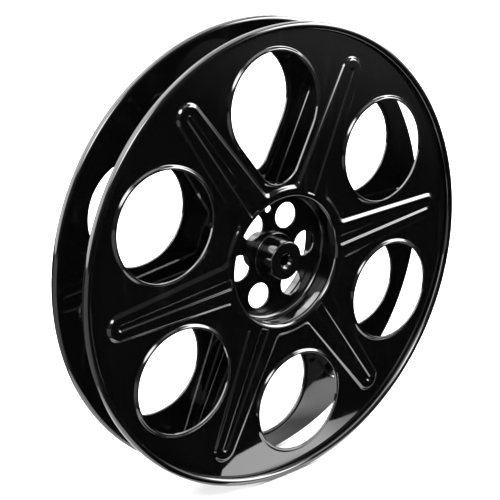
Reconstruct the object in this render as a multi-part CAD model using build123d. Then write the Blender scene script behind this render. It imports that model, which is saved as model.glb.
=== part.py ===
from build123d import *

import math
import os

# A pressed-steel cinema film reel standing on its rims.
#
# The reel's axis is Y, the front flange faces -Y and +Z is up.  The origin is the
# centre of the reel, on the spindle's axis and midway between the two flanges.
# Lengths are in millimetres and angles in degrees.
#
# Pieces are drawn in a bench frame first: the axis is Z, the origin is the reel's
# centre, and +Z points outward through the flange being made.

# Driving dimensions of the whole reel
REEL_DIAMETER = 381.0
FILM_GAP = 36.7
SHEET = 0.9
ROLL_ANGLE = 5.8
REAR_REGISTER = -0.95

# The curled edge of each flange
CURL_RADIUS = 3.2
CURL_TURN = 302.0

# Six round holes on one circle, the top one stretched towards the core
HOLE_COUNT = 6
HOLE_RADIUS = 42.75
HOLE_CIRCLE = 127.8
FINGER_RADIUS = 21.0
FINGER_CIRCLE = 87.3
LIP_WIDTH = 3.35
LIP_CREST = 1.15
LIP_HEIGHT = 1.75

# The raised star: a ring about the hub opening and six tapering ribs
STAR_HEIGHT = 1.9
STAR_RING_RADIUS = 61.5
STAR_SLOPE = 1.4
RIB_FOOT_AT = 60.0
RIB_FOOT_HALF = 16.0
RIB_TIP_AT = 163.0
RIB_TIP_HALF = 9.5
RIB_CAP = 7.0
GROOVE_FOOT_AT = 57.7
GROOVE_FOOT_HALF = 3.9
GROOVE_TIP_HALF = 2.1
GROOVE_TIP_AT = 160.0
GROOVE_CAP = 2.0
GROOVE_DEPTH = 1.3
GROOVE_SLOPE = 0.8

# The hub opening, turned in to a collar
COLLAR_RADIUS = 52.6
COLLAR_BEND = 4.0
COLLAR_END = 11.5

# The core that the film winds on
CORE_RADIUS = 57.15
CORE_HALF_LENGTH = 19.95

# Two drawn cups, back to back, make the web in the middle of the hub
CUP_BEND = 4.0
CUP_MOUTH = 14.8
WEB_HOLE_RADIUS = 10.7
WEB_HOLE_CIRCLE = 34.5
PIN_HOLE_RADIUS = 3.1
PIN_HOLE_CIRCLE = 40.5

# The spindle boss and the collars that clamp it to the web
BOSS_RADIUS = 16.0
BOSS_LENGTH = 37.5
BOSS_EDGE = 1.3
BORE_RADIUS = 4.17
COUNTERSINK_RADIUS = 6.4
KEYWAY_WIDTH = 3.2
KEYWAY_REACH = 7.2
CLAMP_RADIUS = 20.5
CLAMP_THICKNESS = 3.5
CLAMP_EDGE = 1.6
SEAT_CLEARANCE = 0.05

# Worked out from the dimensions above
INNER_FACE = FILM_GAP / 2
OUTER_FACE = INNER_FACE + SHEET
STAR_TOP = OUTER_FACE + STAR_HEIGHT
RIM_RADIUS = REEL_DIAMETER / 2
HOLE_STEP = 360 / HOLE_COUNT
FINGER_ANGLE = 90.0
COLLAR_BEND_START = COLLAR_RADIUS + COLLAR_BEND
CUP_RADIUS = COLLAR_RADIUS + SHEET + SEAT_CLEARANCE
THROUGH = 4 * FILM_GAP


def polar(radius, angle):
    """The point at this radius and angle in the bench frame's plane."""
    return (radius * math.cos(math.radians(angle)), radius * math.sin(math.radians(angle)))


def turned(profile_edges):
    """The solid swept by a closed outline of (radius, height) edges about the axis."""
    profile = Plane.XZ * make_face(profile_edges)
    return revolve(profile, Axis.Z, 360)


def drilled(height, radius, centre=(0.0, 0.0)):
    """A round cutter as tall as it needs to be, standing about this height."""
    return Pos(centre[0], centre[1], height) * Cylinder(radius, THROUGH)


def tapered(outline, low_grow, high_grow, low, high):
    """The solid between one outline drawn at two sizes and two heights."""
    bottom = Pos(0, 0, low) * outline(low_grow)
    top = Pos(0, 0, high) * outline(high_grow)
    return loft([bottom.face(), top.face()], ruled=True)


# ---------------------------------------------------------------- flange outlines

def on_rib(along, across, angle):
    """A point measured along and across a rib that points at this angle."""
    unit_x, unit_y = polar(1, angle)
    return (along * unit_x - across * unit_y, along * unit_y + across * unit_x)


def rib_half(at, foot_half, tip_half, tip_at):
    """Half the width of a tapering rib or groove at this distance from the axis."""
    share = (at - RIB_FOOT_AT) / (tip_at - RIB_FOOT_AT)
    return foot_half + (tip_half - foot_half) * share


def rib_meets_ring(ring_radius, grow):
    """Where the edge of a rib crosses the star's ring: along and across the rib."""
    slope = (RIB_TIP_HALF - RIB_FOOT_HALF) / (RIB_TIP_AT - RIB_FOOT_AT)
    offset = RIB_FOOT_HALF + grow - slope * RIB_FOOT_AT
    square = 1 + slope * slope
    reach = math.sqrt(square * ring_radius**2 - offset**2)
    along = (reach - slope * offset) / square
    return along, slope * along + offset


def star_outline(grow):
    """The star's edge, moved outward by grow."""
    ring = STAR_RING_RADIUS + grow
    foot_along, foot_across = rib_meets_ring(ring, grow)
    tip_half = RIB_TIP_HALF + grow
    edges = []
    for rib in range(HOLE_COUNT):
        angle = FINGER_ANGLE + HOLE_STEP * (rib + 0.5)
        foot_right = on_rib(foot_along, -foot_across, angle)
        tip_right = on_rib(RIB_TIP_AT, -tip_half, angle)
        tip = on_rib(RIB_TIP_AT + RIB_CAP + grow, 0, angle)
        tip_left = on_rib(RIB_TIP_AT, tip_half, angle)
        foot_left = on_rib(foot_along, foot_across, angle)
        next_foot = on_rib(foot_along, -foot_across, angle + HOLE_STEP)
        edges.append(Line(foot_right, tip_right))
        edges.append(ThreePointArc(tip_right, tip, tip_left))
        edges.append(Line(tip_left, foot_left))
        edges.append(ThreePointArc(foot_left, polar(ring, angle + HOLE_STEP / 2), next_foot))
    return make_face(edges)


def groove_outline(angle, grow):
    """The edge of the groove down the middle of one rib, moved outward by grow."""
    foot_half = GROOVE_FOOT_HALF + grow
    tip_half = GROOVE_TIP_HALF + grow
    foot_right = on_rib(GROOVE_FOOT_AT, -foot_half, angle)
    tip_right = on_rib(GROOVE_TIP_AT, -tip_half, angle)
    tip = on_rib(GROOVE_TIP_AT + GROOVE_CAP + grow, 0, angle)
    tip_left = on_rib(GROOVE_TIP_AT, tip_half, angle)
    foot_left = on_rib(GROOVE_FOOT_AT, foot_half, angle)
    sides = [Line(foot_right, tip_right), ThreePointArc(tip_right, tip, tip_left)]
    sides += [Line(tip_left, foot_left), Line(foot_left, foot_right)]
    return make_face(sides)


def finger_hole_outline(grow):
    """The stretched hole: a large and a small circle joined by their tangents."""
    lean = (HOLE_RADIUS - FINGER_RADIUS) / (HOLE_CIRCLE - FINGER_CIRCLE)
    side = math.sqrt(1 - lean * lean)
    large = HOLE_RADIUS + grow
    small = FINGER_RADIUS + grow
    large_right = (large * side, HOLE_CIRCLE - large * lean)
    large_left = (-large * side, HOLE_CIRCLE - large * lean)
    small_right = (small * side, FINGER_CIRCLE - small * lean)
    small_left = (-small * side, FINGER_CIRCLE - small * lean)
    edges = [
        Line(small_right, large_right),
        ThreePointArc(large_right, (0, HOLE_CIRCLE + large), large_left),
        Line(large_left, small_left),
        ThreePointArc(small_left, (0, FINGER_CIRCLE - small), small_right),
    ]
    return make_face(edges)


def round_hole_centres():
    """The centres of the five round holes."""
    return [polar(HOLE_CIRCLE, FINGER_ANGLE + HOLE_STEP * step) for step in range(1, HOLE_COUNT)]


# ---------------------------------------------------------------- flange pressing

def relief(base):
    """Everything that the press raises above this base height, as one solid."""
    star_high = base + STAR_HEIGHT
    star = tapered(star_outline, STAR_SLOPE, -STAR_SLOPE, base, star_high)
    groove_low = star_high - GROOVE_DEPTH
    for rib in range(HOLE_COUNT):
        angle = FINGER_ANGLE + HOLE_STEP * (rib + 0.5)
        star -= tapered(lambda grow: groove_outline(angle, grow),
                        -GROOVE_SLOPE, GROOVE_SLOPE, groove_low, star_high)
    lips = [tapered(finger_hole_outline, LIP_WIDTH, LIP_CREST, base, base + LIP_HEIGHT)]
    for centre in round_hole_centres():
        lip = Cone(HOLE_RADIUS + LIP_WIDTH, HOLE_RADIUS + LIP_CREST, LIP_HEIGHT)
        lips.append(Pos(centre[0], centre[1], base + LIP_HEIGHT / 2) * lip)
    return [star] + lips


def curled_disc():
    """The flat sheet out to the rim, with its edge curled outward into a bead."""
    bead_radius = RIM_RADIUS - CURL_RADIUS
    bead_height = INNER_FACE + CURL_RADIUS
    bead_centre = (bead_radius, bead_height)
    inside = CURL_RADIUS - SHEET
    end_angle = CURL_TURN - 90
    end_x, end_y = polar(1, end_angle)
    outer_end = (bead_radius + CURL_RADIUS * end_x, bead_height + CURL_RADIUS * end_y)
    inner_end = (bead_radius + inside * end_x, bead_height + inside * end_y)
    edges = [
        Line((COLLAR_RADIUS, INNER_FACE), (bead_radius, INNER_FACE)),
        CenterArc(bead_centre, CURL_RADIUS, -90, CURL_TURN),
        Line(outer_end, inner_end),
        CenterArc(bead_centre, inside, end_angle, -CURL_TURN),
        Line((bead_radius, OUTER_FACE), (COLLAR_RADIUS, OUTER_FACE)),
        Line((COLLAR_RADIUS, OUTER_FACE), (COLLAR_RADIUS, INNER_FACE)),
    ]
    return turned(edges)


def opening_collar():
    """The edge of the hub opening, rounded over and drawn in towards the web."""
    bend_height = STAR_TOP - COLLAR_BEND
    bend_centre = (COLLAR_BEND_START, bend_height)
    inside = COLLAR_BEND - SHEET
    edges = [
        CenterArc(bend_centre, COLLAR_BEND, 90, 90),
        Line((COLLAR_RADIUS, bend_height), (COLLAR_RADIUS, COLLAR_END)),
        Line((COLLAR_RADIUS, COLLAR_END), (COLLAR_RADIUS + SHEET, COLLAR_END)),
        Line((COLLAR_RADIUS + SHEET, COLLAR_END), (COLLAR_RADIUS + SHEET, bend_height)),
        CenterArc(bend_centre, inside, 180, -90),
        Line((COLLAR_BEND_START, STAR_TOP - SHEET), (COLLAR_BEND_START, STAR_TOP)),
    ]
    return turned(edges)


def flange():
    """One stamped flange: star, six lipped holes, curled rim and hub collar."""
    sheet = curled_disc()
    for raised in relief(OUTER_FACE):
        sheet += raised
    for hollow in relief(INNER_FACE):
        sheet -= hollow
    for centre in round_hole_centres():
        sheet -= drilled(OUTER_FACE, HOLE_RADIUS, centre)
    sheet -= extrude(finger_hole_outline(0.0), THROUGH)
    sheet -= drilled(OUTER_FACE, COLLAR_BEND_START)
    return sheet + opening_collar()


# ---------------------------------------------------------------- hub pieces

def core_drum():
    """The tube that the film winds on, held between the two flanges."""
    tube = Cylinder(CORE_RADIUS, 2 * CORE_HALF_LENGTH)
    return tube - Cylinder(CORE_RADIUS - SHEET, THROUGH)


def hub_cup():
    """A drawn cup: its floor is half of the web, its wall takes the flange's collar."""
    bend_centre = (CUP_RADIUS - CUP_BEND, SHEET + CUP_BEND)
    wall_outside = CUP_RADIUS + SHEET
    eye = BOSS_RADIUS + SEAT_CLEARANCE
    edges = [
        Line((eye, 0), (CUP_RADIUS - CUP_BEND, 0)),
        CenterArc(bend_centre, CUP_BEND + SHEET, -90, 90),
        Line((wall_outside, SHEET + CUP_BEND), (wall_outside, CUP_MOUTH)),
        Line((wall_outside, CUP_MOUTH), (CUP_RADIUS, CUP_MOUTH)),
        Line((CUP_RADIUS, CUP_MOUTH), (CUP_RADIUS, SHEET + CUP_BEND)),
        CenterArc(bend_centre, CUP_BEND, 0, -90),
        Line((CUP_RADIUS - CUP_BEND, SHEET), (eye, SHEET)),
        Line((eye, SHEET), (eye, 0)),
    ]
    cup = turned(edges)
    for hole in range(HOLE_COUNT):
        angle = FINGER_ANGLE + HOLE_STEP * (hole + 0.5)
        cup -= drilled(0, WEB_HOLE_RADIUS, polar(WEB_HOLE_CIRCLE, angle))
    return cup - drilled(0, PIN_HOLE_RADIUS, polar(PIN_HOLE_CIRCLE, FINGER_ANGLE))


def clamp_collar():
    """A ring pressed over the boss and down on the web, with a rounded edge."""
    ring = Pos(0, 0, SHEET + CLAMP_THICKNESS / 2) * Cylinder(CLAMP_RADIUS, CLAMP_THICKNESS)
    upper_edge = ring.edges().group_by(Axis.Z)[-1]
    ring = fillet(upper_edge, CLAMP_EDGE)
    return ring - drilled(0, BOSS_RADIUS + SEAT_CLEARANCE)


def spindle_boss():
    """The turned boss through the web, with a countersunk and keyed spindle bore."""
    boss = Cylinder(BOSS_RADIUS, BOSS_LENGTH)
    rims = boss.edges().group_by(Axis.Z)
    boss = fillet(rims[0] + rims[-1], BOSS_EDGE)
    boss -= Cylinder(BORE_RADIUS, THROUGH)
    depth = COUNTERSINK_RADIUS - BORE_RADIUS
    mouth = (BOSS_LENGTH - depth) / 2
    boss -= Pos(0, 0, mouth) * Cone(BORE_RADIUS, COUNTERSINK_RADIUS, depth)
    boss -= Pos(0, 0, -mouth) * Cone(COUNTERSINK_RADIUS, BORE_RADIUS, depth)
    keyway = Pos(KEYWAY_REACH / 2, 0, 0) * Box(KEYWAY_REACH, KEYWAY_WIDTH, THROUGH)
    return boss - Rot(0, 0, FINGER_ANGLE - HOLE_STEP / 2) * keyway


# ---------------------------------------------------------------- assembly

def in_front(piece):
    """Turn a bench-frame piece to face -Y, rolled with the reel."""
    return Rot(90, 0, 0) * Rot(0, 0, ROLL_ANGLE) * piece


def behind(piece, register):
    """Turn the same piece over to face +Y, out of register with the front by this much."""
    return Rot(0, 0, 180) * Rot(90, 0, 0) * Rot(0, 0, -ROLL_ANGLE - register) * piece


def write(name, piece):
    """Save one piece under its own name."""
    piece.label = name
    export_step(piece, f"parts/{name}.step")


def main():
    os.makedirs("parts", exist_ok=True)
    pressing = flange()
    write("front_flange", in_front(pressing))
    write("rear_flange", behind(pressing, REAR_REGISTER))
    write("core_drum", in_front(core_drum()))
    write("front_hub_cup", in_front(hub_cup()))
    write("rear_hub_cup", behind(hub_cup(), 0.0))
    write("spindle_boss", in_front(spindle_boss()))
    write("front_clamp_collar", in_front(clamp_collar()))
    write("rear_clamp_collar", behind(clamp_collar(), 0.0))


main()
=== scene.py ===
# %% [markdown]
# A cinema film reel: two stamped steel flanges on a hollow core, dipped in black
# stoving enamel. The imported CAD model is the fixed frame, so it is loaded first and
# every piece below is placed by its numbers. The reel stands on its rims, its axis
# is Y, its front faces -Y and Z is up.

# %% Load the reel
import math

import bpy
import numpy as np
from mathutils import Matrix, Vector
from mathutils.geometry import delaunay_2d_cdt


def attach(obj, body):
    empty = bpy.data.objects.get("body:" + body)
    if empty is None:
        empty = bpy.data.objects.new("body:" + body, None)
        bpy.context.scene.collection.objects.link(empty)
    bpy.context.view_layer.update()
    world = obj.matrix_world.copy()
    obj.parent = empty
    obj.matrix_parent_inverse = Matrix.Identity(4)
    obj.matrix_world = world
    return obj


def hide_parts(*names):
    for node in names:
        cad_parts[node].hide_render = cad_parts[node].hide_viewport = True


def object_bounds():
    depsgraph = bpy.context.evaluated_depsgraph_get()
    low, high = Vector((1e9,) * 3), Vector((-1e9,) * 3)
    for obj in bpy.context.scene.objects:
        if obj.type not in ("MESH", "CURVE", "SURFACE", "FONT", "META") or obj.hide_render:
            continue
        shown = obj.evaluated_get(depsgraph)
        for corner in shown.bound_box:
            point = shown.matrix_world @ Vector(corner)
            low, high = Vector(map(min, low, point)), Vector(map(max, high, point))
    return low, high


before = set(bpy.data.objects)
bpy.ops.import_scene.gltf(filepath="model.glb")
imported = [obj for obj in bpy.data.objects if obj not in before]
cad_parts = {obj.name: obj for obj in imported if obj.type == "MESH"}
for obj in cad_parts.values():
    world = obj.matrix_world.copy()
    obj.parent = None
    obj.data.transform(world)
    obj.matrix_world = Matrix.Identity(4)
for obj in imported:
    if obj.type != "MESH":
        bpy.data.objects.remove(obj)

cad_low, cad_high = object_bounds()
FLOOR_Z = cad_low.z
print("reel box in mm:", [round(1000 * s, 1) for s in (cad_high - cad_low)])

# %% [markdown]
# The camera looks down on the reel from its front left, with a long lens, so that
# both flanges and the gap between them show. A slight shift frames the reel.

# %% Set up the camera
VIEW_FROM = Vector((-0.589214, -0.711210, 0.318345))
SENSOR_MM = 36.0
LENS_MM = 86.47
SHIFT_RIGHT = -0.0434
SHIFT_UP = 0.0104
camera = bpy.data.objects.new("camera", bpy.data.cameras.new("camera"))
bpy.context.scene.collection.objects.link(camera)
camera.location = VIEW_FROM
camera.rotation_euler = (-VIEW_FROM).to_track_quat("-Z", "Y").to_euler()
camera.data.sensor_width = SENSOR_MM
camera.data.lens = LENS_MM
camera.data.shift_x = SHIFT_RIGHT
camera.data.shift_y = SHIFT_UP
camera.data.clip_start = 0.02
camera.data.clip_end = 60.0
bpy.context.scene.camera = camera
print("camera distance in m:", round(VIEW_FROM.length, 3))

# %% [markdown]
# Shader sums are written as Python sums. Each output of a node is held as a Wire, and
# adding or multiplying wires adds Math nodes to the material.

# %% Write shader maths as Python
class Wire:
    """One output of a shader node."""

    def __init__(self, tree, socket):
        self.tree = tree
        self.socket = socket

    def node(self, kind, settings=None, inputs=None, out=0):
        """Add any node: its settings first, then the values or wires of its sockets."""
        made = self.tree.nodes.new("ShaderNode" + kind)
        for name, value in (settings or {}).items():
            if name == "stops":
                ramp = made.color_ramp
                for stop in value[len(ramp.elements):]:
                    ramp.elements.new(stop[0])
                for element, stop in zip(ramp.elements, value):
                    element.position = stop[0]
                    element.color = (*stop[1], 1.0)
            else:
                setattr(made, name, value)
        for name, value in (inputs or {}).items():
            if isinstance(value, Wire):
                self.tree.links.new(value.socket, made.inputs[name])
            else:
                made.inputs[name].default_value = value
        return Wire(self.tree, made.outputs[out])

    def sum(self, operation, first, second):
        return self.node("Math", {"operation": operation}, {0: first, 1: second})

    def __add__(self, other):
        return self.sum("ADD", self, other)

    def __radd__(self, other):
        return self.sum("ADD", other, self)

    def __sub__(self, other):
        return self.sum("SUBTRACT", self, other)

    def __rsub__(self, other):
        return self.sum("SUBTRACT", other, self)

    def __mul__(self, other):
        return self.sum("MULTIPLY", self, other)

    def __rmul__(self, other):
        return self.sum("MULTIPLY", other, self)

    def between(self, low, high):
        """0 below low, 1 above high, and smooth in between."""
        settings = {"interpolation_type": "SMOOTHSTEP"}
        inputs = {"Value": self, "From Min": low, "From Max": high}
        return self.node("MapRange", settings, inputs)

    def part(self, axis):
        """One coordinate of a vector: 0, 1 or 2 for x, y or z."""
        return self.node("SeparateXYZ", {}, {"Vector": self}, out=axis)

    def to(self, node, socket):
        self.tree.links.new(self.socket, node.inputs[socket])


def place_on(material):
    """Where a point of the surface is, as the first wire of this material's tree."""
    return Wire(material.node_tree, None).node("TexCoord", out="Object")


print("a Wire adds, subtracts and multiplies; place_on starts one")


# %% [markdown]
# Stoving enamel on steel is a thick, wet-looking black. It isn't perfectly flat: it
# dries with a fine orange peel, the pressed sheet under it is slightly wavy, and
# handling leaves hazy patches, wiped streaks, hairline scuffs and specks of dust. The
# sheet's wave, the peel and the dust go through one Bump node, their depths in metres.
# The haze, streaks, scuffs and dust change roughness and colour. The pieces of the hub
# have the same enamel, a little duller.

# %% Mix the black enamel
CLEAN = (0.0011, 0.0011, 0.0012, 1.0)
DUSTY = (0.06, 0.06, 0.058, 1.0)
PEEL_DEPTH = 0.0000012
WAVE_DEPTH = 0.00006
DUST_DEPTH = 0.00001


def black_enamel(name, polish, shine):
    """Glossy black enamel with peel, haze, hairline scuffs and dust."""
    material = bpy.data.materials.new(name)
    material.use_nodes = True
    shader = material.node_tree.nodes["Principled BSDF"]
    place = place_on(material)

    peel = place.node("TexNoise", {}, {"Vector": place, "Scale": 900.0, "Detail": 1.0})
    wave = place.node("TexNoise", {}, {"Vector": place, "Scale": 26.0, "Detail": 1.0})
    haze = place.node("TexNoise", {}, {"Vector": place, "Scale": 38.0, "Detail": 5.0,
                                       "Roughness": 0.6})
    stretched = place.node("Mapping", {}, {"Vector": place, "Rotation": (0.3, 0.2, 0.5),
                                           "Scale": (60.0, 60.0, 2600.0)})
    hair = place.node("TexNoise", {}, {"Vector": stretched, "Scale": 1.0, "Detail": 3.0})
    scuff = hair.between(0.66, 0.74) * haze.between(0.45, 0.65)
    cell = place.node("TexVoronoi", {}, {"Vector": place, "Scale": 420.0, "Randomness": 1.0})
    chance = place.node("TexNoise", {}, {"Vector": place, "Scale": 160.0, "Detail": 2.0})
    dust = (1.0 - cell.between(0.05, 0.16)) * chance.between(0.60, 0.70)

    wiped = place.node("Mapping", {}, {"Vector": place, "Rotation": (0.0, 0.25, 0.0),
                                       "Scale": (150.0, 30.0, 9.0)})
    streak = place.node("TexNoise", {}, {"Vector": wiped, "Scale": 1.0, "Detail": 4.0,
                                         "Roughness": 0.65})
    smear = streak.between(0.50, 0.75) * haze.between(0.45, 0.70)

    dirt = 0.55 * dust + 0.05 * scuff + 0.06 * smear
    colour = place.node("Mix", {"data_type": "RGBA"}, {"Factor": dirt, 6: CLEAN, 7: DUSTY}, out=2)
    colour.to(shader, "Base Color")
    rough = polish + 0.05 * haze.between(0.40, 0.75) + 0.12 * scuff + 0.35 * dust + 0.06 * smear
    rough.to(shader, "Roughness")
    height = PEEL_DEPTH * peel + WAVE_DEPTH * wave + DUST_DEPTH * dust
    bump = place.node("Bump", {}, {"Height": height, "Strength": 1.0, "Distance": 1.0})
    bump.to(shader, "Normal")
    shader.inputs["Specular IOR Level"].default_value = shine
    return material


enamel = black_enamel("black_stoving_enamel", 0.045, 0.55)
hub_enamel = black_enamel("black_hub_enamel", 0.11, 0.40)
print("enamel nodes:", len(enamel.node_tree.nodes))

# %% [markdown]
# The flange is one sheet of 0.9 mm steel, so both its faces follow one drawing. The
# drawing is kept here as the die maker's numbers, in mm, with the reel's axis upright
# and the pressing's outer face up. Angles are in degrees, anticlockwise. The lip of a
# hole is as if folded: raised on the outer face and nearly flat behind (LIP_HOLLOW).

# %% Write down the die's dimensions
SHEET = 0.9
HALF_SHEET = SHEET / 2
OUTER_FACE = 19.25
ROLL_ANGLE = 5.8
REAR_ROLL = -4.85
SECTOR = 60.0
FINGER_SECTOR = 90.0
HOLE_RADIUS = 42.75
HOLE_CIRCLE = 127.8
FINGER_RADIUS = 21.0
FINGER_CIRCLE = 87.3
LIP_FOOT = 3.7
LIP_TOP = 1.1
LIP_HEIGHT = 1.75
LIP_HOLLOW = 0.35
STAR_RING = 61.5
STAR_HEIGHT = 1.9
STAR_SLOPE = 3.4
STAR_FILLET = 4.0
RIB_FROM = 60.0
RIB_FROM_HALF = 16.0
RIB_TO = 160.0
RIB_TO_HALF = 9.95
GROOVE_FROM = 54.0
GROOVE_FROM_HALF = 4.0
GROOVE_TO = 160.0
GROOVE_TO_HALF = 2.1
GROOVE_DEPTH = 1.3
GROOVE_SLOPE = 2.0
GROOVE_FADE = 1.8
COLLAR_FROM = 56.6
COLLAR_BEND = 4.0
COLLAR_RADIUS = 52.6
COLLAR_END = 11.5
BEAD_CIRCLE = 187.3
BEAD_RADIUS = 3.2
BEAD_END = 212.0
FIELD_EDGE = 184.0
print("sheet in mm:", SHEET, "- hole radius:", HOLE_RADIUS, "- bead radius:", BEAD_RADIUS)


# %% [markdown]
# Every step in the sheet is at some distance from an outline: the star, a groove or a
# hole. A rib or a groove is a lane between a large and a small circle. Distance to a
# lane is easy to write down, and all six sectors are alike, so each point is first
# turned into the sector of its nearest rib or hole.

# %% Measure distances from the die's outlines
def eased(share):
    """0 to 1 with no kink at either end."""
    t = np.clip(share, 0.0, 1.0)
    return t * t * (3.0 - 2.0 * t)


def in_sector(x, y, first):
    """Along and across the nearest of six axes, the first of which is at this angle."""
    angle = np.degrees(np.arctan2(y, x))
    axis = np.radians(np.round((angle - first) / SECTOR) * SECTOR + first)
    along = x * np.cos(axis) + y * np.sin(axis)
    across = np.abs(y * np.cos(axis) - x * np.sin(axis))
    return along, across, np.degrees(axis)


def from_lane(along, across, start, start_half, end, end_half):
    """Signed distance from the lane between two circles on the axis."""
    way = np.sign(end - start)
    length = abs(end - start)
    lean = (start_half - end_half) / length
    upright = math.sqrt(1.0 - lean * lean)
    forward = (along - start) * way
    reach = forward * upright - across * lean
    at_start = np.hypot(across, forward) - start_half
    at_end = np.hypot(across, forward - length) - end_half
    beside = across * upright + forward * lean - start_half
    return np.where(reach < 0, at_start, np.where(reach > upright * length, at_end, beside))


def from_star(x, y):
    """Signed distance from the star, with its inner corners filleted."""
    along, across, _ = in_sector(x, y, 0.0)
    rib = from_lane(along, across, RIB_FROM, RIB_FROM_HALF, RIB_TO, RIB_TO_HALF)
    ring = np.hypot(x, y) - STAR_RING
    near = np.maximum(STAR_FILLET - np.abs(rib - ring), 0.0) / STAR_FILLET
    return np.minimum(rib, ring) - near * near * STAR_FILLET / 4.0


def from_groove(x, y):
    along, across, _ = in_sector(x, y, 0.0)
    return from_lane(along, across, GROOVE_FROM, GROOVE_FROM_HALF, GROOVE_TO, GROOVE_TO_HALF)


def from_hole(x, y):
    """Signed distance from the nearest hole's edge, positive in the sheet."""
    along, across, axis = in_sector(x, y, FINGER_SECTOR)
    plain = np.hypot(along - HOLE_CIRCLE, across) - HOLE_RADIUS
    finger = from_lane(along, across, HOLE_CIRCLE, HOLE_RADIUS, FINGER_CIRCLE, FINGER_RADIUS)
    return np.where(np.abs(axis - FINGER_SECTOR) < 1.0, finger, plain)


def sheet_height(x, y, lip_height):
    """Height of the sheet's outer face, in mm from the middle of the reel."""
    star = STAR_HEIGHT * eased(0.5 - from_star(x, y) / STAR_SLOPE)
    groove = GROOVE_DEPTH * eased(0.5 - from_groove(x, y) / GROOVE_SLOPE)
    groove = groove * eased((np.hypot(x, y) - COLLAR_FROM) / GROOVE_FADE)
    lip = lip_height * eased((LIP_FOOT - from_hole(x, y)) / (LIP_FOOT - LIP_TOP))
    return OUTER_FACE + star - groove + lip - star * lip / STAR_HEIGHT


SLOPE_STEP = 0.02


def normals_of(height, x, y):
    """Normals of a surface, from the slope of its height over x and y."""
    step = SLOPE_STEP
    slope_x = (height(x + step, y) - height(x - step, y)) / (2.0 * step)
    slope_y = (height(x, y + step) - height(x, y - step)) / (2.0 * step)
    normal = np.stack([-slope_x, -slope_y, np.ones_like(slope_x)], axis=1)
    return normal / np.linalg.norm(normal, axis=1)[:, None]


def sheet_normal(x, y, lip_height):
    return normals_of(lambda u, v: sheet_height(u, v, lip_height), x, y)


samples = sheet_height(np.array([100.0, 100.0]), np.array([8.0, 0.0]), LIP_HEIGHT)
print("star top, groove floor:", samples.round(2))


# %% [markdown]
# A pressing could be made with bevels on a flat plate, but the lips, the fillets and
# the grooves would then need many hand-made edge loops. Here lines are laid along
# every bend, close together across it, and a constrained triangulation joins them.
# The normals come from the height itself, so even large flat triangles shade as
# smoothly as the steel.

# %% Gather a piece from patches
class Pressing:
    """Points, normals and faces of one piece, in mm, with its axis upright."""

    def __init__(self):
        self.points = []
        self.normals = []
        self.faces = []
        self.count = 0

    def patch(self, points, normals, faces):
        self.points.append(points)
        self.normals.append(normals)
        self.faces.extend(tuple(corner + self.count for corner in face) for face in faces)
        self.count += len(points)

    def band(self, loops):
        """Quads between closed loops of (points, normals) that all have as many points."""
        size = len(loops[0][0])
        faces = []
        for lower in range(len(loops) - 1):
            for i in range(size):
                j = (i + 1) % size
                a, b = lower * size, (lower + 1) * size
                faces.append((a + i, b + i, b + j, a + j))
        points = np.concatenate([loop[0] for loop in loops])
        normals = np.concatenate([loop[1] for loop in loops])
        quads = np.array(faces)
        corners = points[quads]
        facing = np.cross(corners[:, 2] - corners[:, 0], corners[:, 3] - corners[:, 1])
        if (facing * normals[quads].mean(axis=1)).sum() < 0:
            faces = quads[:, ::-1].tolist()
        self.patch(points, normals, faces)

    def turned(self, profile, size):
        """A band round the axis through a profile of (radius, height, normal angle)."""
        around = np.radians(np.arange(size) * 360.0 / size)
        loops = []
        for radius, height, lean in profile:
            out, up = math.cos(math.radians(lean)), math.sin(math.radians(lean))
            ring = np.stack([np.cos(around), np.sin(around)], axis=1)
            points = np.column_stack([radius * ring, np.full(size, height)])
            normals = np.column_stack([out * ring, np.full(size, up)])
            loops.append((points, normals))
        self.band(loops)

    def made(self, name, node, roll, behind, finish):
        """Weld the patches, place the piece in the reel, attach it to the root body and hide its
        node's CAD part.
        """
        points = np.concatenate(self.points)
        normals = placed(np.concatenate(self.normals), roll, behind).tolist()
        _, first, welded = np.unique(np.round(points, 4), axis=0,
                                     return_index=True, return_inverse=True)
        welded = welded.reshape(-1).tolist()
        points = points[first]
        faces = []
        corner_normals = []
        for face in self.faces:
            corners = {welded[c]: normals[c] for c in face}
            if len(corners) > 2:
                faces.append(list(corners))
                corner_normals.extend(corners.values())
        mesh = bpy.data.meshes.new(name)
        mesh.from_pydata((placed(points, roll, behind) / 1000.0).tolist(), [], faces)
        mesh.shade_smooth()
        mesh.normals_split_custom_set(corner_normals)
        mesh.materials.append(finish)
        piece = bpy.data.objects.new(name, mesh)
        bpy.context.scene.collection.objects.link(piece)
        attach(piece, "root")
        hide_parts(node)
        triangles = sum(len(f) - 2 for f in faces)
        print(f"{name}: {len(points)} points, {triangles} triangles")


def placed(rows, roll, behind):
    """Turn rows from the upright bench frame into the reel, facing front or back."""
    c, s = math.cos(math.radians(roll)), math.sin(math.radians(roll))
    x = rows[:, 0] * c - rows[:, 1] * s
    y = rows[:, 0] * s + rows[:, 1] * c
    z = rows[:, 2]
    return np.stack([-x, z, y], axis=1) if behind else np.stack([x, -z, y], axis=1)


# %% [markdown]
# A triangulation only knows the lines it is given. An outline is laid once, then moved
# in and out to the levels where the sheet starts to bend, bends hardest and is flat
# again. The constrained Delaunay triangulation keeps every line as an edge.

# %% Lay lines along the bends and triangulate between them
SHORTEST = 0.1
TRACE_STEP = 0.01


def thinned(points):
    """The points without those closer than a tenth of a millimetre to the one before."""
    kept = [points[0]]
    for point in points[1:]:
        if np.hypot(*(point - kept[-1])) > SHORTEST:
            kept.append(point)
    return np.array(kept)


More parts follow.
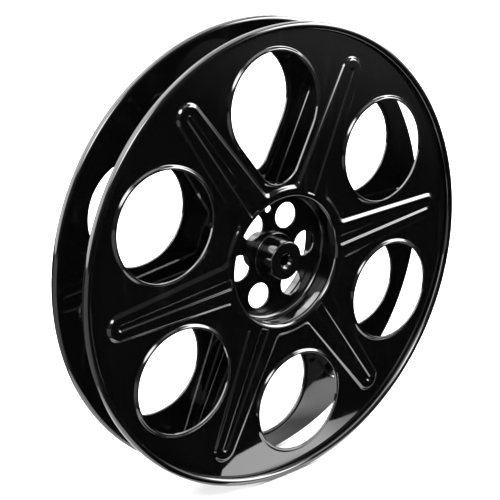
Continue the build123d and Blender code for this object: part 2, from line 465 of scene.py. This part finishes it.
def lane_outline(start, start_half, end, end_half, spacing):
    """Points and outward normals round a lane on the x axis; a circle if start is end."""
    if start == end:
        around = np.arange(0, 2 * math.pi - 1e-6, spacing / start_half)
        normals = np.stack([np.cos(around), np.sin(around)], axis=1)
        return normals * start_half + np.array([start, 0.0]), normals
    length = abs(end - start)
    turn = math.acos((start_half - end_half) / length)
    far_turn = 2 * math.pi - turn
    big = np.linspace(turn, far_turn, int((2 * math.pi - 2 * turn) * start_half / spacing) + 2)
    small = np.linspace(-turn, turn, int(2 * turn * end_half / spacing) + 2)
    shares = np.linspace(0, 1, int(length / spacing) + 2)[1:-1, None]

    def arc(centre, radius, angles):
        normals = np.stack([np.cos(angles), np.sin(angles)], axis=1)
        return normals * radius + np.array([centre, 0.0]), normals

    def side(angle, back):
        normal = np.array([math.cos(angle), math.sin(angle)])
        ends = [normal * start_half, normal * end_half + np.array([length, 0.0])]
        first, last = ends[::-1] if back else ends
        points = first + (last - first) * shares
        return points, np.repeat(normal[None, :], len(points), axis=0)

    parts = [arc(0.0, start_half, big), side(-turn, False),
             arc(length, end_half, small), side(turn, True)]
    points = np.concatenate([part[0] for part in parts])
    normals = np.concatenate([part[1] for part in parts])
    way = 1.0 if end > start else -1.0
    return points * way + np.array([start, 0.0]), normals * way


def spun(rows, angle):
    c, s = math.cos(math.radians(angle)), math.sin(math.radians(angle))
    return np.stack([rows[:, 0] * c - rows[:, 1] * s, rows[:, 0] * s + rows[:, 1] * c], axis=1)


def slide_to(points, distance, level):
    """Move points along the slope of a distance until it is at this level."""
    step = TRACE_STEP
    p = points.copy()
    for _ in range(8):
        x, y = p[:, 0], p[:, 1]
        d = distance(x, y)
        gx = (distance(x + step, y) - distance(x - step, y)) / (2 * step)
        gy = (distance(x, y + step) - distance(x, y - step)) / (2 * step)
        size = np.maximum(gx * gx + gy * gy, 0.25)
        move = (d - level) / size
        p = p - np.stack([gx * move, gy * move], axis=1)
    return p


class Lines:
    """Points and edges for the triangulation."""

    def __init__(self):
        self.points = []
        self.edges = []

    def add(self, points, closed=True):
        first = len(self.points)
        self.points.extend(Vector((float(p[0]), float(p[1]))) for p in points)
        size = len(points)
        self.edges.extend((first + i, first + i + 1) for i in range(size - 1))
        if closed:
            self.edges.append((first + size - 1, first))

    def dots(self, points):
        self.points.extend(Vector((float(p[0]), float(p[1]))) for p in points)

    def triangles(self, keep):
        """Points and anticlockwise triangles whose middles are wanted."""
        verts, _, faces, _, _, _ = delaunay_2d_cdt(self.points, self.edges, [], 0, 1e-5, False)
        points = np.array([tuple(v) for v in verts])
        tri = np.array([f for f in faces if len(f) == 3])
        a, b, c = points[tri[:, 0]], points[tri[:, 1]], points[tri[:, 2]]
        ab, ac = b - a, c - a
        area = ab[:, 0] * ac[:, 1] - ab[:, 1] * ac[:, 0]
        tri[area < 0] = tri[area < 0][:, ::-1]
        middle = (a + b + c) / 3.0
        tri = tri[keep(middle[:, 0], middle[:, 1]) & (np.abs(area) > 1e-9)]
        used, renumbered = np.unique(tri, return_inverse=True)
        return points[used], renumbered.reshape(-1, 3)


def circle_points(radius, size):
    around = np.arange(size) * 2 * math.pi / size
    return np.stack([radius * np.cos(around), radius * np.sin(around)], axis=1)


print("points on a circle of radius 10 mm:", len(lane_outline(0.0, 10.0, 0.0, 10.0, 1.0)[0]))


# %% [markdown]
# The star is one outline: along the ring, out along a rib, round its tip and back.
# One twelfth of it is traced, then mirrored and turned round the axis.

# %% Trace the star
CORNER_END = 90.0
TIP_START = 156.0
SHORT_STRIDE = 0.8
LONG_STRIDE = 2.6


def star_line():
    """Points along the star's edge, close together at its bends."""
    start = np.array([[STAR_RING * math.cos(math.pi / 6), STAR_RING * math.sin(math.pi / 6)]])
    p = slide_to(start, from_star, 0.0)[0]
    heading = np.array([math.sin(math.pi / 6), -math.cos(math.pi / 6)])
    traced = [p]
    while p[1] > 0.02 and len(traced) < 400:
        bending = p[0] < CORNER_END or p[0] > TIP_START
        stride = SHORT_STRIDE if bending else LONG_STRIDE
        gx = from_star(p[:1] + TRACE_STEP, p[1:]) - from_star(p[:1] - TRACE_STEP, p[1:])
        gy = from_star(p[:1], p[1:] + TRACE_STEP) - from_star(p[:1], p[1:] - TRACE_STEP)
        tangent = np.array([-gy[0], gx[0]])
        tangent /= np.hypot(*tangent)
        if tangent @ heading < 0:
            tangent = -tangent
        heading = tangent
        p = slide_to((p + tangent * stride)[None, :], from_star, 0.0)[0]
        traced.append(p)
    half = np.array(traced[:-1])
    other = (half * np.array([1.0, -1.0]))[::-1]
    tip = slide_to(np.array([[RIB_TO + RIB_TO_HALF, 0.0]]), from_star, 0.0)
    sector = np.concatenate([half, tip, other])[::-1]
    whole = np.concatenate([spun(sector[1:], SECTOR * k) for k in range(6)])
    return thinned(whole)


star_edge = star_line()
print("points along the star:", len(star_edge))


# %% [markdown]
# The field is the part of the sheet between the hub opening and the rim. Lines follow
# the star's slope, the grooves and the lips, and a loose scatter of points fills the
# flats. The sheet's inner face is the same field, one thickness lower.

# %% Press the field of the flange
COLLAR_SIZE = 288
RIM_SIZE = 480
HOLE_SPACING = 1.9
GROOVE_SPACING = 2.4
LIP_LEVELS = (-4.0, HALF_SHEET, 1.1, 1.45, 1.8, 2.2, 2.6, 3.0, 3.35, 3.7)
STAR_LEVELS = (-1.7, -1.35, -0.95, -0.5, 0.0, 0.5, 0.95, 1.35, 1.7)
GROOVE_LEVELS = (-1.0, -0.6, -0.2, 0.2, 0.6, 1.0)
COLLAR_RINGS = ((57.4, 288), (58.4, 288), (59.9, 240), (61.0, 240), (62.2, 240))
SCATTER_X = 6.0
SCATTER_Y = 5.3


def hole_lines():
    """Base outline and normals of each of the six holes, the finger hole first."""
    found = []
    for k in range(6):
        angle = FINGER_SECTOR + SECTOR * k
        end = (HOLE_CIRCLE, HOLE_RADIUS) if k else (FINGER_CIRCLE, FINGER_RADIUS)
        points, normals = lane_outline(HOLE_CIRCLE, HOLE_RADIUS, *end, HOLE_SPACING)
        found.append((spun(points, angle), spun(normals, angle)))
    return found


def pressed_field():
    """Points and triangles of the field, seen from outside."""
    lines = Lines()
    lines.add(circle_points(COLLAR_FROM, COLLAR_SIZE))
    lines.add(circle_points(COLLAR_FROM - 4.0, 60))
    lines.add(circle_points(FIELD_EDGE, RIM_SIZE))
    for radius, size in COLLAR_RINGS:
        lines.dots(circle_points(radius, size))
    for points, normals in holes:
        for level in LIP_LEVELS:
            lines.add(points + normals * level)
    for level in STAR_LEVELS:
        lines.add(slide_to(star_edge, from_star, level))
    for k in range(6):
        points, normals = lane_outline(GROOVE_FROM, GROOVE_FROM_HALF, GROOVE_TO, GROOVE_TO_HALF,
                                       GROOVE_SPACING)
        for level in GROOVE_LEVELS:
            row = points + normals * level
            inside = np.hypot(row[:, 0], row[:, 1]) > COLLAR_FROM + 0.4
            start = int(np.argmax(~inside))
            order = np.roll(np.arange(len(row)), -start)
            row = row[order][inside[order]]
            lines.add(spun(row, SECTOR * k), closed=False)
    scatter = []
    for i in range(-31, 32):
        for j in range(-31, 32):
            scatter.append((SCATTER_X * i + (SCATTER_X / 2 if j % 2 else 0.0), SCATTER_Y * j))
    scatter = np.array(scatter)
    x, y = scatter[:, 0], scatter[:, 1]
    radius = np.hypot(x, y)
    clear = (radius > 66.0) & (radius < 181.0) & (from_hole(x, y) > 5.5)
    clear &= np.abs(from_star(x, y)) > 3.0
    lines.dots(scatter[clear])

    def in_sheet(x, y):
        return (np.hypot(x, y) > COLLAR_FROM - 0.3) & (from_hole(x, y) > HALF_SHEET - 0.3)

    return lines.triangles(in_sheet)


holes = hole_lines()
field_points, field_faces = pressed_field()
print("field:", len(field_points), "points,", len(field_faces), "triangles")


# %% [markdown]
# Three bands close the sheet: a rounded edge round each hole, thick because the lip is
# raised on one face only, the curled bead at the rim, and the collar drawn in at the
# hub opening.

# %% Close the edges of the sheet
def rounded_edge(points, normals, top, bottom):
    """Loops round the edge of the sheet at a hole, where its lip is folded thick."""
    loops = []
    over = (top - HALF_SHEET, (90, 60, 30, 0))
    under = (bottom + HALF_SHEET, (0, -30, -60, -90))
    for middle, leans in (over, under):
        for lean in leans:
            into, up = math.cos(math.radians(lean)), math.sin(math.radians(lean))
            xy = points + normals * (HALF_SHEET - HALF_SHEET * into)
            n = np.column_stack([-normals * into, np.full(len(xy), up)])
            loops.append((np.column_stack([xy, np.full(len(xy), middle + HALF_SHEET * up)]), n))
    return loops


def bead_profile():
    """From the field's outer face, round inside the bead, over its end and back outside."""
    height = OUTER_FACE + BEAD_RADIUS - SHEET
    profile = [(FIELD_EDGE, OUTER_FACE, 90)]
    for angle in np.linspace(-90, BEAD_END, 12):
        a = math.radians(angle)
        r = BEAD_RADIUS - SHEET
        profile.append((BEAD_CIRCLE + r * math.cos(a), height + r * math.sin(a), angle + 180))
    end = math.radians(BEAD_END)
    middle = BEAD_RADIUS - HALF_SHEET
    tip = (BEAD_CIRCLE + middle * math.cos(end), height + middle * math.sin(end))
    for turn in (45, 90, 135):
        lean = BEAD_END + 180 - turn
        a = math.radians(lean)
        profile.append((tip[0] + HALF_SHEET * math.cos(a), tip[1] + HALF_SHEET * math.sin(a), lean))
    for angle in np.linspace(BEAD_END, -90, 40):
        a = math.radians(angle)
        profile.append((BEAD_CIRCLE + BEAD_RADIUS * math.cos(a),
                        height + BEAD_RADIUS * math.sin(a), angle))
    profile.append((FIELD_EDGE, OUTER_FACE - SHEET, -90))
    return profile


def collar_profile():
    """From the star's top, over the bend, down the collar, round its end and back."""
    top = OUTER_FACE + STAR_HEIGHT
    middle = top - COLLAR_BEND
    profile = []
    for angle in np.linspace(90, 180, 13):
        a = math.radians(angle)
        profile.append((COLLAR_FROM + COLLAR_BEND * math.cos(a),
                        middle + COLLAR_BEND * math.sin(a), angle))
    for angle in (180, 225, 270, 315, 360):
        a = math.radians(angle)
        profile.append((COLLAR_RADIUS + HALF_SHEET + HALF_SHEET * math.cos(a),
                        COLLAR_END + HALF_SHEET + HALF_SHEET * math.sin(a), angle))
    for angle in np.linspace(180, 90, 9):
        a = math.radians(angle)
        r = COLLAR_BEND - SHEET
        profile.append((COLLAR_FROM + r * math.cos(a), middle + r * math.sin(a), angle + 180))
    return profile


def flange(name, node, roll, behind):
    """One stamped flange."""
    piece = Pressing()
    top = OUTER_FACE + LIP_HEIGHT
    bottom = OUTER_FACE + LIP_HOLLOW - SHEET
    x, y = field_points[:, 0], field_points[:, 1]
    outer = np.column_stack([x, y, sheet_height(x, y, LIP_HEIGHT)])
    inner = np.column_stack([x, y, sheet_height(x, y, LIP_HOLLOW) - SHEET])
    piece.patch(outer, sheet_normal(x, y, LIP_HEIGHT), field_faces.tolist())
    piece.patch(inner, -sheet_normal(x, y, LIP_HOLLOW), field_faces[:, ::-1].tolist())
    for points, normals in holes:
        piece.band(rounded_edge(points, normals, top, bottom))
    piece.turned(bead_profile(), RIM_SIZE)
    piece.turned(collar_profile(), COLLAR_SIZE)
    piece.made(name, node, roll, behind, enamel)


flange("front_flange_pressing", "front_flange", ROLL_ANGLE, False)
flange("rear_flange_pressing", "rear_flange", REAR_ROLL, True)

# %% [markdown]
# The web in the middle of the hub is two drawn cups, back to back. Each cup's floor is
# pierced by six holes round the boss and by one small pin hole, and a punch and the
# enamel leave the edges of the holes a little rounded. The floor is triangulated
# between the outlines of its holes, and the bend, the wall and its mouth are turned.

# %% Draw the hub cups
CUP_SIZE = 240
CUP_RADIUS = 53.55
CUP_BEND = 4.0
CUP_MOUTH = 14.8
CUP_EYE = 16.05
WEB_HOLE_RADIUS = 10.7
WEB_HOLE_CIRCLE = 34.5
PIN_HOLE_RADIUS = 3.1
PIN_HOLE_CIRCLE = 40.5
PUNCH_ROUND = 0.4
WALL_FOOT = 0.1


def cup_holes():
    """Outline and normals of every hole in the floor of a cup."""
    found = []
    for k in range(6):
        ring = circle_points(1.0, 60)
        centre = spun(np.array([[WEB_HOLE_CIRCLE, 0.0]]), SECTOR * k)
        found.append((ring * WEB_HOLE_RADIUS + centre, ring))
    ring = circle_points(1.0, 28)
    found.append((ring * PIN_HOLE_RADIUS + np.array([0.0, PIN_HOLE_CIRCLE]), ring))
    found.append((circle_points(CUP_EYE, 96), circle_points(1.0, 96)))
    return found


def from_cup_hole(x, y):
    """Distance from the nearest hole in the floor of a cup."""
    along, across, _ = in_sector(x, y, 0.0)
    web = np.hypot(along - WEB_HOLE_CIRCLE, across) - WEB_HOLE_RADIUS
    pin = np.hypot(x, y - PIN_HOLE_CIRCLE) - PIN_HOLE_RADIUS
    return np.minimum(np.minimum(web, pin), np.hypot(x, y) - CUP_EYE)


def cup_profile():
    """From the floor, up round the bend and the wall, over the mouth and back outside."""
    start = CUP_RADIUS - CUP_BEND
    middle = SHEET + CUP_BEND
    lip = CUP_MOUTH - HALF_SHEET
    profile = []
    for turn in np.linspace(0, 90, 11):
        a = math.radians(turn)
        profile.append((start + CUP_BEND * math.sin(a),
                        middle - CUP_BEND * math.cos(a), 90 + turn))
    for turn in (180, 150, 120, 90, 60, 30, 0):
        a = math.radians(turn)
        profile.append((CUP_RADIUS + HALF_SHEET + HALF_SHEET * math.cos(a),
                        lip + HALF_SHEET * math.sin(a), turn))
    for turn in np.linspace(90, 0, 9):
        a = math.radians(turn)
        outside = CUP_BEND + SHEET
        profile.append((start + outside * math.sin(a), middle - outside * math.cos(a), turn - 90))
    return profile


def hub_cup(name, node, roll, behind):
    """One drawn cup with its pierced floor."""
    piece = Pressing()
    pierced = cup_holes()
    floor_edge = CUP_RADIUS - CUP_BEND
    lines = Lines()
    lines.add(circle_points(floor_edge, CUP_SIZE))
    for points, normals in pierced:
        lines.add(points + normals * PUNCH_ROUND)
    inside = PUNCH_ROUND - 0.05

    def in_floor(x, y):
        return (np.hypot(x, y) < floor_edge) & (from_cup_hole(x, y) > inside)

    xy, tri = lines.triangles(in_floor)
    up = np.tile([0.0, 0.0, 1.0], (len(xy), 1))
    piece.patch(np.column_stack([xy, np.full(len(xy), SHEET)]), up, tri.tolist())
    piece.patch(np.column_stack([xy, np.zeros(len(xy))]), -up, tri[:, ::-1].tolist())
    for points, normals in pierced:
        loops = []
        for lean in (90, 67, 45, 22, 0):
            into, rise = math.cos(math.radians(lean)), math.sin(math.radians(lean))
            row = points + normals * PUNCH_ROUND * (1.0 - into)
            height = SHEET - PUNCH_ROUND * (1.0 - rise)
            n = np.column_stack([-normals * into, np.full(len(row), rise)])
            loops.append((np.column_stack([row, np.full(len(row), height)]), n))
        flat = np.column_stack([-normals, np.zeros(len(points))])
        loops.append((np.column_stack([points, np.full(len(points), WALL_FOOT)]), flat))
        back = points + normals * PUNCH_ROUND
        loops.append((np.column_stack([back, np.zeros(len(points))]), flat))
        piece.band(loops)
    piece.turned(cup_profile(), CUP_SIZE)
    piece.made(name, node, roll, behind, hub_enamel)


hub_cup("front_hub_cup_drawn", "front_hub_cup", ROLL_ANGLE, False)
hub_cup("rear_hub_cup_drawn", "rear_hub_cup", -ROLL_ANGLE, True)

# %% [markdown]
# The rest of the hub is turned on a lathe: the tube that the film winds on, the two
# rings that clamp the web, and the boss. Every profile goes round as one closed line,
# with the small rounds that a file leaves on each corner.

# %% Turn the core tube and the clamp rings
CORE_RADIUS = 57.15
CORE_HALF_LENGTH = 19.95
CLAMP_INSIDE = 16.05
CLAMP_RADIUS = 20.5
CLAMP_TOP = 4.4
CLAMP_EDGE = 1.6
CLAMP_BREAK = 0.3


def rounded_corner(radius, height, size, first, last, steps=5):
    """Profile points round a corner whose arc is centred here."""
    found = []
    for lean in np.linspace(first, last, steps):
        a = math.radians(lean)
        found.append((radius + size * math.cos(a), height + size * math.sin(a), lean))
    return found


def core_tube():
    """The core, its two ends rounded by half the thickness of its sheet."""
    piece = Pressing()
    middle = CORE_RADIUS - HALF_SHEET
    end = CORE_HALF_LENGTH - HALF_SHEET
    profile = rounded_corner(middle, end, HALF_SHEET, 0, 180, 7)
    profile += rounded_corner(middle, -end, HALF_SHEET, 180, 360, 7)
    profile.append((CORE_RADIUS, end, 0))
    piece.turned(profile, 288)
    piece.made("core_drum_tube", "core_drum", 0.0, False, enamel)


def clamp_ring(name, node, behind):
    """One ring, broadly rounded outside, that sits on the floor of a cup."""
    piece = Pressing()
    profile = rounded_corner(CLAMP_RADIUS - CLAMP_EDGE, CLAMP_TOP - CLAMP_EDGE,
                             CLAMP_EDGE, 90, 0, 8)
    profile += [(CLAMP_RADIUS, SHEET, 0), (CLAMP_RADIUS, SHEET, -90), (CLAMP_INSIDE, SHEET, -90)]
    profile += [(CLAMP_INSIDE, SHEET, 180)]
    profile += rounded_corner(CLAMP_INSIDE + CLAMP_BREAK, CLAMP_TOP - CLAMP_BREAK,
                              CLAMP_BREAK, 180, 90, 4)
    profile.append(profile[0])
    piece.turned(profile, 192)
    piece.made(name, node, 0.0, behind, hub_enamel)


core_tube()
clamp_ring("front_clamp_ring", "front_clamp_collar", False)
clamp_ring("rear_clamp_ring", "rear_clamp_collar", True)

# %% [markdown]
# The boss is a short bar with a spindle bore, countersunk at both ends, and a keyway
# cut along it. The outline of the bore with its keyway goes through both faces, so the
# faces are triangulated round it, and the wall of the bore joins them.

# %% Turn the boss and broach its keyway
BOSS_RADIUS = 16.0
BOSS_TOP = 18.75
BOSS_EDGE = 1.3
BORE_RADIUS = 4.17
COUNTERSINK_RADIUS = 6.4
COUNTERSINK_ROUND = 0.8
KEYWAY_HALF = 1.6
KEYWAY_REACH = 7.2
KEYWAY_AT = 60.0
SINK_RINGS = (4.5, 5.2, 5.9, 6.15, 6.4, 6.65, 6.9)


def bore_outline():
    """Points round the bore and its keyway, and the normals into the hole."""
    opening = math.asin(KEYWAY_HALF / BORE_RADIUS)
    arc = np.linspace(opening, 2 * math.pi - opening, 44)
    bore = np.stack([np.cos(arc), np.sin(arc)], axis=1)
    start = BORE_RADIUS * math.cos(opening)
    reach = np.linspace(start, KEYWAY_REACH, 6)[1:]
    low = np.stack([reach, np.full(5, -KEYWAY_HALF)], axis=1)
    across = np.linspace(-KEYWAY_HALF, KEYWAY_HALF, 6)[1:-1]
    end = np.stack([np.full(4, KEYWAY_REACH), across], axis=1)
    high = low[::-1] * np.array([1.0, -1.0])
    points = np.concatenate([bore * BORE_RADIUS, low, end, high])
    keyway = [np.tile([0.0, 1.0], (5, 1)), np.tile([-1.0, 0.0], (4, 1)),
              np.tile([0.0, -1.0], (5, 1))]
    normals = np.concatenate([-bore, *keyway])
    return spun(points, KEYWAY_AT), spun(normals, KEYWAY_AT)


def boss_height(x, y):
    """Height of the boss's face, which dips into the countersink."""
    below = COUNTERSINK_RADIUS - np.hypot(x, y)
    soft = np.clip((below + COUNTERSINK_ROUND) / (2 * COUNTERSINK_ROUND), 0.0, 1.0)
    return BOSS_TOP - np.where(below > COUNTERSINK_ROUND, below, soft * soft * COUNTERSINK_ROUND)


def boss():
    """The spindle boss, the same at both ends."""
    piece = Pressing()
    rim = BOSS_RADIUS - BOSS_EDGE
    outline, into_hole = bore_outline()
    lines = Lines()
    lines.add(circle_points(rim, 144))
    lines.add(outline)
    for radius in SINK_RINGS:
        lines.dots(circle_points(radius, 72))

    def keep(x, y):
        turned = spun(np.column_stack([x, y]), -KEYWAY_AT)
        along, across = turned[:, 0], np.abs(turned[:, 1])
        keyway = (along > 0) & (along < KEYWAY_REACH) & (across < KEYWAY_HALF)
        radius = np.hypot(x, y)
        return (radius < rim) & (radius > BORE_RADIUS - 0.02) & ~keyway

    xy, tri = lines.triangles(keep)
    x, y = xy[:, 0], xy[:, 1]
    z = boss_height(x, y)
    n = normals_of(boss_height, x, y)
    piece.patch(np.column_stack([xy, z]), n, tri.tolist())
    mirrored = n * np.array([1.0, 1.0, -1.0])
    piece.patch(np.column_stack([xy, -z]), mirrored, tri[:, ::-1].tolist())
    height = boss_height(outline[:, 0], outline[:, 1])
    flat = np.column_stack([into_hole, np.zeros(len(outline))])
    piece.band([(np.column_stack([outline, height]), flat),
                (np.column_stack([outline, -height]), flat)])
    profile = rounded_corner(rim, BOSS_TOP - BOSS_EDGE, BOSS_EDGE, 90, 0, 8)
    profile += rounded_corner(rim, BOSS_EDGE - BOSS_TOP, BOSS_EDGE, 0, -90, 8)
    piece.turned(profile, 144)
    piece.made("spindle_boss_turned", "spindle_boss", ROLL_ANGLE, False, hub_enamel)


boss()

# %% [markdown]
# Black enamel shows little but what it reflects, so the set is built for reflections.
# The camera sees only a pale floor. Flat pieces just above it are seen by reflections
# alone and paint light and shade into the enamel: a dark sheet in front, painted shade of
# the front floor, with painted light far to the right, a dim surround beyond an oval of
# floor, painted shade of the far floor with painted light at the left, and a small pool
# of light before the reel with soft edges. Round it all is a dome, dark in front, with soft panels
# on it.

# %% Lay the floor
def stage_material(name, colour, glow):
    """A matt colour that gives off its Emission Color, white unless something is linked."""
    material = bpy.data.materials.new(name)
    material.use_nodes = True
    shader = material.node_tree.nodes["Principled BSDF"]
    shader.inputs["Base Color"].default_value = (*colour, 1.0)
    shader.inputs["Roughness"].default_value = 0.9
    shader.inputs["Specular IOR Level"].default_value = 0.0
    shader.inputs["Emission Color"].default_value = (1.0, 1.0, 1.0, 1.0)
    shader.inputs["Emission Strength"].default_value = glow
    return material


def staged(name, points, faces, material):
    """A piece of the set, in metres, that only reflections see."""
    mesh = bpy.data.meshes.new(name)
    mesh.from_pydata(points, [], faces)
    mesh.materials.append(material)
    piece = bpy.data.objects.new(name, mesh)
    bpy.context.scene.collection.objects.link(piece)
    piece.visible_camera = False
    piece.visible_diffuse = False
    piece.visible_shadow = False
    piece.visible_transmission = False
    return piece


def lit_by(material, glow):
    glow.to(material.node_tree.nodes["Principled BSDF"], "Emission Color")


FAR = 8.0
FRONT_SHEET_Z = FLOOR_Z + 0.0005
SURROUND_Z = FLOOR_Z + 0.0003
POOL_Z = FLOOR_Z + 0.0002
BLACK = (0.0, 0.0, 0.0)
FAR_RIGHT_PAINTED_LIGHT = 0.28
FRONT_SHEET_EDGE = [(-7.0, -3.3), (-0.30, -1.0), (-0.16, -0.30), (-0.12, -0.038), (-0.056, -0.040),
              (-0.040, -0.056), (-0.015, -0.068), (0.02, -0.074), (0.06, -0.068),
              (0.10, -0.064), (0.16, -0.062), (0.4, -0.10), (7.5, -1.0)]

pale = stage_material("pale_floor", (0.8, 0.8, 0.8), 0.0)
corners = [(-FAR, -FAR, FLOOR_Z), (FAR, -FAR, FLOOR_Z), (FAR, FAR, FLOOR_Z), (-FAR, FAR, FLOOR_Z)]
floor = staged("floor", corners, [(0, 1, 2, 3)], pale)
floor.visible_camera = True
floor.visible_diffuse = True

# Painted shade: a dark sheet seen only in reflections stands in for the shaded front floor, and its
# glow far to the right is painted light.
dark = stage_material("front_painted_shade", BLACK, 1.0)
lit_by(dark, FAR_RIGHT_PAINTED_LIGHT * place_on(dark).part(0).between(0.7, 1.8))
front_sheet = [(x, y, FRONT_SHEET_Z) for x, y in FRONT_SHEET_EDGE] + [(FAR, -FAR, FRONT_SHEET_Z), (-FAR, -FAR, FRONT_SHEET_Z)]
staged("front_shade_sheet", front_sheet[::-1], [tuple(range(len(front_sheet)))], dark)
print("cloth corners:", len(front_sheet))

# %% [markdown]
# The surround paints shade on the far floor as the flanges reflect it, so that it doesn't
# show there as one bright sheet, and its glow paints light at the left, fading towards the back.
# The pool fades out by mixing its light with a transparent shader, because a hard edge
# would show as a line in the enamel.

# %% Lay the surround and the pool of light
TABLE_HALF_WIDTH = 0.30
TABLE_HALF_DEPTH = 0.15
OVAL = 64
POOL = [(-0.06, -0.08), (0.13, -0.08), (0.13, -0.022), (-0.06, -0.022)]
POOL_GLOW = 6.0
SURROUND_GLOW = 0.12

# Painted shade of the far floor, seen only in reflections, with painted light at the left that
# fades towards the back.
dim = stage_material("surround_painted_shade", BLACK, 1.0)
dim_place = place_on(dim)
left = 1.0 - dim_place.part(0).between(-0.34, -0.22)
near = 1.0 - dim_place.part(1).between(0.10, 0.30)
lit_by(dim, SURROUND_GLOW + left * near)
around = [(math.cos(2 * math.pi * k / OVAL), math.sin(2 * math.pi * k / OVAL)) for k in range(OVAL)]
surround = [(TABLE_HALF_WIDTH * x, TABLE_HALF_DEPTH * y, SURROUND_Z) for x, y in around]
surround += [(FAR * x, FAR * y, SURROUND_Z) for x, y in around]
ring_faces = [(k, (k + 1) % OVAL, OVAL + (k + 1) % OVAL, OVAL + k) for k in range(OVAL)]
staged("surround", surround, ring_faces, dim)

pool_light = stage_material("pool_of_light", BLACK, POOL_GLOW)
pool_place = place_on(pool_light)
strength = 1.0 - pool_place.part(0).between(0.05, 0.12)
strength = strength * (1.0 - pool_place.part(1).between(-0.038, -0.024))
clear = pool_place.node("BsdfTransparent")
lit = Wire(pool_light.node_tree, pool_light.node_tree.nodes["Principled BSDF"].outputs[0])
pool_mix = clear.node("MixShader", {}, {0: strength, 1: clear, 2: lit})
pool_mix.to(pool_light.node_tree.nodes["Material Output"], "Surface")
staged("pool", [(x, y, POOL_Z) for x, y in POOL], [(0, 1, 2, 3)], pool_light)
print("surround faces:", len(ring_faces))

# %% [markdown]
# Panels with soft edges give the enamel its highlights. They could be area lights, but
# a dome whose glow is stored on its points shows them all as one smooth picture, and
# each panel is then a row of numbers.

# %% Hang the panels
PANELS = [  # middle and half width of azimuth, lowest and highest elevation, edge, glow
    (0, 200, 54, 120, 14, 4.5),
    (-120, 70, 36, 84, 14, 9.0),
    (-110, 44, -20, 50, 14, 8.0),
    (-34, 15, 24, 46, 5, 22.0),
    (67, 30, 16, 43, 5, 22.0),
    (82, 50, 3, 20, 8, 3.0),
    (150, 50, 38, 70, 12, 5.5),
    (165, 50, 8, 40, 10, 3.0),
]
BASE_GLOW = 0.25
DOME_RADIUS = 7.0
SPOKES = 180
RINGS = 48


def dome_glow(azimuth, elevation):
    """How bright the dome is in a direction; azimuth 0 is in front and 90 at the right."""
    glow = np.full(azimuth.shape, BASE_GLOW)
    for middle, half, low, high, edge, strength in PANELS:
        aside = np.abs((azimuth - middle + 180.0) % 360.0 - 180.0) - half
        above = np.abs(elevation - (low + high) / 2) - (high - low) / 2
        glow = np.maximum(glow, strength * eased(0.5 - aside / edge) * eased(0.5 - above / edge))
    return glow


def dome():
    """The dome, its glow stored on its points."""
    azimuth, elevation = np.meshgrid(np.arange(SPOKES) * 360.0 / SPOKES,
                                     np.linspace(-2.0, 90.0, RINGS))
    azimuth, elevation = azimuth.ravel(), elevation.ravel()
    a, e = np.radians(azimuth), np.radians(elevation)
    points = np.stack([np.sin(a) * np.cos(e), -np.cos(a) * np.cos(e), np.sin(e)], axis=1)
    faces = []
    for i in range(RINGS - 1):
        for j in range(SPOKES):
            k = (j + 1) % SPOKES
            low, high = i * SPOKES, (i + 1) * SPOKES
            faces.append((low + j, low + k, high + k, high + j))
    material = stage_material("dome_panels", BLACK, 1.0)
    start = Wire(material.node_tree, None)
    lit_by(material, start.node("Attribute", {"attribute_name": "glow"}, out="Fac"))
    piece = staged("dome", (points * DOME_RADIUS).tolist(), faces, material)
    attribute = piece.data.attributes.new("glow", "FLOAT", "POINT")
    attribute.data.foreach_set("value", dome_glow(azimuth, elevation).astype(np.float32))


dome()
print("panels on the dome:", len(PANELS))

# %% [markdown]
# The floor needs light of its own, because the dome is seen only by reflections. One
# large lamp overhead does it, hidden from reflections in its turn, and a white world
# fills the shadows.

# %% Light the floor
LAMP_SIZE = 8.0
LAMP_WATTS = 1400.0
LAMP_HEIGHT = 4.0
SKY_STRENGTH = 1.0

overhead = bpy.data.lights.new("overhead", "AREA")
overhead.shape = "SQUARE"
overhead.size = LAMP_SIZE
overhead.energy = LAMP_WATTS
overhead_lamp = bpy.data.objects.new("overhead", overhead)
bpy.context.scene.collection.objects.link(overhead_lamp)
overhead_lamp.location = (0.0, 0.0, LAMP_HEIGHT)
overhead_lamp.visible_glossy = False
overhead_lamp.visible_camera = False

world = bpy.data.worlds.new("studio")
bpy.context.scene.world = world
world.use_nodes = True
sky = world.node_tree.nodes["Background"]
sky.inputs["Color"].default_value = (1.0, 1.0, 1.0, 1.0)
sky.inputs["Strength"].default_value = SKY_STRENGTH
bpy.context.scene.view_settings.view_transform = "Standard"
print("lamp in W:", LAMP_WATTS)
